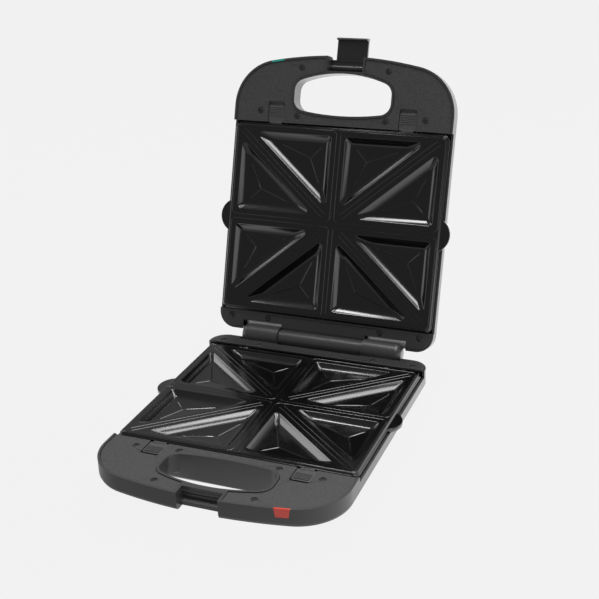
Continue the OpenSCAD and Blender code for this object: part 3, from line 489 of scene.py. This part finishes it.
def drop_border(sheet, height):
    """Draws a sheet's border down to a height, as a wall."""
    wall = bmesh.ops.extrude_edge_only(sheet, edges=open_edges(sheet))
    for vert in [v for v in wall["geom"] if isinstance(v, bmesh.types.BMVert)]:
        vert.co.z = height


def cooking_plate(name, place, node, tab_top):
    """One plate: cooking side, underside, skirt between them and two rear tabs."""
    plate = contour_sheet(plate_top_lines())
    drop_border(plate, -skirt_h)
    under = contour_sheet(plate_under_lines())
    bmesh.ops.reverse_faces(under, faces=under.faces)
    drop_border(under, -skirt_h)
    under_mesh = bpy.data.meshes.new(name + "_under")
    under.to_mesh(under_mesh)
    under.free()
    plate.from_mesh(under_mesh)
    bpy.data.meshes.remove(under_mesh)
    plate.edges.ensure_lookup_table()
    bmesh.ops.bridge_loops(plate, edges=open_edges(plate))
    for side in (-1.0, 1.0):
        tab = bmesh.ops.create_cube(plate, size=1.0)
        for vert in tab["verts"]:
            vert.co.x = vert.co.x * tab_size.x + side * tab_x
            vert.co.y = vert.co.y * tab_size.y + plate_half_d + tab_overlap
            vert.co.z = vert.co.z * tab_size.z + tab_top - tab_size.z / 2.0
    bmesh.ops.transform(plate, matrix=place, verts=plate.verts)
    bmesh.ops.recalc_face_normals(plate, faces=plate.faces)
    for face in plate.faces:
        face.smooth = True
    mesh = bpy.data.meshes.new(name)
    plate.to_mesh(mesh)
    plate.free()
    piece = bpy.data.objects.new(name, mesh)
    bpy.context.scene.collection.objects.link(piece)
    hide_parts(node)
    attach(piece, node)
    return piece


# Their coating has a fine grain from the casting below and faint smudges that change
# its gloss. Mouldings have the same two effects from their tools and from handling.
grain_group = bpy.data.node_groups.new("tool_grain", "ShaderNodeTree")
for label, kind, value in (
    ("Scale", "NodeSocketFloat", 1500.0),
    ("Smudge Scale", "NodeSocketFloat", 30.0),
    ("Roughness", "NodeSocketFloat", 0.5),
    ("Smudge", "NodeSocketFloat", 0.08),
    ("Color", "NodeSocketColor", (0.1, 0.1, 0.1, 1.0)),
    ("Mottle", "NodeSocketFloat", 0.1),
):
    grain_socket = grain_group.interface.new_socket(label, in_out="INPUT", socket_type=kind)
    grain_socket.default_value = value
for label, kind in (
    ("Color", "NodeSocketColor"), ("Roughness", "NodeSocketFloat"), ("Height", "NodeSocketFloat")
):
    grain_group.interface.new_socket(label, in_out="OUTPUT", socket_type=kind)
grain_in = grain_group.nodes.new("NodeGroupInput")
grain_out = grain_group.nodes.new("NodeGroupOutput")
grain_place = grain_group.nodes.new("ShaderNodeTexCoord").outputs["Object"]


def grain_noise(scale_name, detail):
    """Noise over the surface, at the scale of one of the group's inputs."""
    texture = grain_group.nodes.new("ShaderNodeTexNoise")
    texture.inputs["Detail"].default_value = detail
    grain_group.links.new(grain_place, texture.inputs["Vector"])
    grain_group.links.new(grain_in.outputs[scale_name], texture.inputs["Scale"])
    return texture.outputs["Fac"]


def swing(noise, amount_name):
    """Noise swung by one of the group's amounts, about a middle that is set afterwards."""
    centred = grain_group.nodes.new("ShaderNodeMath")
    centred.operation = "SUBTRACT"
    centred.inputs[1].default_value = 0.5
    grain_group.links.new(noise, centred.inputs[0])
    swung = grain_group.nodes.new("ShaderNodeMath")
    swung.operation = "MULTIPLY_ADD"
    grain_group.links.new(centred.outputs[0], swung.inputs[0])
    grain_group.links.new(grain_in.outputs[amount_name], swung.inputs[1])
    return swung


grain_fine = grain_noise("Scale", 2.0)
grain_group.links.new(grain_fine, grain_out.inputs["Height"])
smudged = swing(grain_noise("Smudge Scale", 4.0), "Smudge")
grain_group.links.new(grain_in.outputs["Roughness"], smudged.inputs[2])
grain_group.links.new(smudged.outputs[0], grain_out.inputs["Roughness"])
mottle_gain = swing(grain_fine, "Mottle")
mottle_gain.inputs[2].default_value = 1.0
mottled = grain_group.nodes.new("ShaderNodeMix")
mottled.data_type = "RGBA"
mottled.blend_type = "MULTIPLY"
mottled.inputs["Factor"].default_value = 1.0
grain_group.links.new(grain_in.outputs["Color"], mottled.inputs["A"])
grain_group.links.new(mottle_gain.outputs[0], mottled.inputs["B"])
grain_group.links.new(mottled.outputs["Result"], grain_out.inputs["Color"])


def grained(name, colour, roughness, grain_scale, grain_depth, smudge=0.1, mottle=0.3,
            metallic=0.0, specular=0.5):
    """A moulded, cast or drawn surface with tool grain and faint smudges."""
    finish = bpy.data.materials.new(name)
    finish.use_nodes = True
    tree = finish.node_tree
    shader = tree.nodes["Principled BSDF"]
    shader.inputs["Metallic"].default_value = metallic
    shader.inputs["Specular IOR Level"].default_value = specular
    grain = tree.nodes.new("ShaderNodeGroup")
    grain.node_tree = grain_group
    grain.inputs["Color"].default_value = (*colour, 1.0)
    grain.inputs["Roughness"].default_value = roughness
    grain.inputs["Scale"].default_value = grain_scale
    grain.inputs["Smudge"].default_value = smudge
    grain.inputs["Mottle"].default_value = mottle
    bump = tree.nodes.new("ShaderNodeBump")
    bump.inputs["Strength"].default_value = 0.5
    bump.inputs["Distance"].default_value = grain_depth
    tree.links.new(grain.outputs["Color"], shader.inputs["Base Color"])
    tree.links.new(grain.outputs["Roughness"], shader.inputs["Roughness"])
    tree.links.new(grain.outputs["Height"], bump.inputs["Height"])
    tree.links.new(bump.outputs["Normal"], shader.inputs["Normal"])
    return finish


def wear(piece, finish):
    """Gives a piece its finish."""
    piece.data.materials.clear()
    piece.data.materials.append(finish)


non_stick = grained(
    "non_stick_coating", (0.002, 0.002, 0.002), roughness=0.15, grain_scale=1400.0,
    grain_depth=0.000003, smudge=0.08, mottle=0.5, specular=0.6,
)
wear(cooking_plate("lower_cooking_plate", base_place, "lower_plate", lower_tab_top), non_stick)
wear(cooking_plate("upper_cooking_plate", lid_place, "upper_plate", upper_tab_top), non_stick)


# Housings of base and lid: satin black mouldings of heat-proof plastic, each in one
# shot with its tub, rims, hand hole collar and hinge parts.
def soften(piece, width):
    """Welds a node's loose triangles, then rounds its sharp edges a little."""
    weld = piece.modifiers.new("weld", "WELD")
    weld.merge_threshold = 0.00001
    bevel = piece.modifiers.new("edge_rounding", "BEVEL")
    bevel.width = width
    bevel.segments = 2
    bevel.limit_method = "ANGLE"
    bevel.angle_limit = math.radians(35.0)
    shade = piece.modifiers.new("flat_faces_stay_flat", "WEIGHTED_NORMAL")
    shade.weight = 100
    for face in piece.data.polygons:
        face.use_smooth = True


housing_black = grained(
    "housing_black", (0.036, 0.036, 0.0355), roughness=0.36, grain_scale=1200.0,
    grain_depth=0.00002, mottle=0.6,
)
for node in ("base_shell", "lid_shell"):
    wear(nodes[node], housing_black)
    soften(nodes[node], 0.0005)

# Handle panels: matt dark grey plastic mouldings with a fine spark-eroded grain, laid
# into the housings' rims round the hand holes and held by six screws each.
panel_grey = grained(
    "panel_grey", (0.0365, 0.0367, 0.0362), roughness=0.55, grain_scale=800.0,
    grain_depth=0.00015, mottle=2.2,
)
for node in ("base_panel", "lid_panel"):
    wear(nodes[node], panel_grey)
    soften(nodes[node], 0.0003)

# Hinge covers: satin black plastic strips across the rear of each half, held by four
# screws, with the cooking plate's tabs under their front edge.
cover_black = grained(
    "cover_black", (0.026, 0.026, 0.0255), roughness=0.42, grain_scale=1200.0,
    grain_depth=0.00004, mottle=0.8,
)
for node in ("base_hinge_cover", "lid_hinge_cover"):
    wear(nodes[node], cover_black)
    soften(nodes[node], 0.0004)

# Latch: one satin black plastic lever with a hook, moulded in one piece and hung on a
# steel pin at the lid's front edge.
latch_black = grained(
    "latch_black", (0.019, 0.019, 0.019), roughness=0.3, grain_scale=1600.0,
    grain_depth=0.00001,
)
wear(nodes["latch"], latch_black)
soften(nodes["latch"], 0.0003)

# Release clips: small ribbed sliders of grey plastic under the handle panels, which the
# thumb pushes away from the plate. Their grey is painted lighter than the panels' grey,
# which they match, to make up for the shade in their recesses: painted light.
clip_grey_painted_lighter = grained(
    "clip_grey_painted_lighter", (0.055, 0.0552, 0.0545), roughness=0.45, grain_scale=800.0,
    grain_depth=0.0001, mottle=1.0,
)
for node in ("lower_clip_left", "lower_clip_right", "upper_clip_left", "upper_clip_right"):
    wear(nodes[node], clip_grey_painted_lighter)
    soften(nodes[node], 0.0003)

# Lenses: small windows of tinted plastic, a little milky, pressed into the housings'
# front walls before the lamps.
milkiness = 0.3
milk_reach = (0.004, 0.002, 0.002)
for node, colour in (("red_lens", (0.57, 0.058, 0.038)), ("green_lens", (0.024, 0.28, 0.235))):
    tint = grained(
        node + "_tint", colour, roughness=0.25, grain_scale=900.0,
        grain_depth=0.00002, mottle=0.15,
    )
    tint_shader = tint.node_tree.nodes["Principled BSDF"]
    tint_shader.inputs["Subsurface Weight"].default_value = milkiness
    tint_shader.inputs["Subsurface Radius"].default_value = milk_reach
    wear(nodes[node], tint)
    soften(nodes[node], 0.0003)

# Lamps: small glow lamps in clear glass, each held by a bracket behind its lens, which
# they light while the plates heat up or are hot.
lamp_glass = grained(
    "lamp_glass", (0.85, 0.8, 0.75), roughness=0.15, grain_scale=900.0,
    grain_depth=0.00001,
)
for node in ("red_lamp", "green_lamp"):
    wear(nodes[node], lamp_glass)

# Heating tubes: steel tubes packed round a heating wire, bent to a loop under each plate
# and dulled by heat.
tube_steel = grained(
    "tube_steel", (0.18, 0.17, 0.16), roughness=0.5, grain_scale=1400.0,
    grain_depth=0.00003, metallic=0.8,
)
for node in ("lower_element", "upper_element"):
    wear(nodes[node], tube_steel)

# Reflectors: pans pressed from bright sheet, which throw the tubes' heat at the plates.
# Two saddles of steel sheet on each hold the tube's loop down.
bright_sheet = grained(
    "bright_sheet", (0.75, 0.75, 0.76), roughness=0.3, grain_scale=700.0,
    grain_depth=0.00002, metallic=1.0,
)
sheet_steel = grained(
    "sheet_steel", (0.5, 0.5, 0.5), roughness=0.4, grain_scale=1400.0,
    grain_depth=0.00002, metallic=1.0,
)
for node in ("lower_reflector", "upper_reflector"):
    wear(nodes[node], bright_sheet)
for node in ("lower_saddles", "upper_saddles"):
    wear(nodes[node], sheet_steel)

# Thermostat and thermal fuse: small white ceramic bodies on the lower reflector, the
# thermostat in its middle and near the plate.
ceramic_white = grained(
    "ceramic_white", (0.8, 0.78, 0.72), roughness=0.6, grain_scale=1600.0,
    grain_depth=0.00003,
)
for node in ("thermostat", "thermal_fuse"):
    wear(nodes[node], ceramic_white)

# Pins: drawn steel rods that the lid and the latch turn on, pushed into the housings.
for node in ("hinge_pins", "latch_pin"):
    wear(nodes[node], sheet_steel)

# Clip springs: coils wound from steel wire, which the clips press together as they are
# pushed away from the plate, each against its fixed far end.
for joint in frame["joints"]:
    for deforming in joint.get("deforming_nodes", []):
        spring = nodes[deforming["node"]]
        wear(spring, sheet_steel)
        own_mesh(spring)

# Screws: blackened steel screws with a cross recess, which hold the handle panels and
# hinge covers to the housings.
screw_black = grained(
    "screw_black", (0.025, 0.025, 0.025), roughness=0.5, grain_scale=2000.0,
    grain_depth=0.00002, metallic=0.3,
)
for node in ("base_screws", "lid_screws"):
    wear(nodes[node], screw_black)

# Feet and cord bush: matt black rubber mouldings, the feet fixed to the underside and
# the bush snapped into the rear wall.
rubber_black = grained(
    "rubber_black", (0.03, 0.03, 0.03), roughness=0.75, grain_scale=1800.0,
    grain_depth=0.00005,
)
for node in ("feet", "cord_gland"):
    wear(nodes[node], rubber_black)
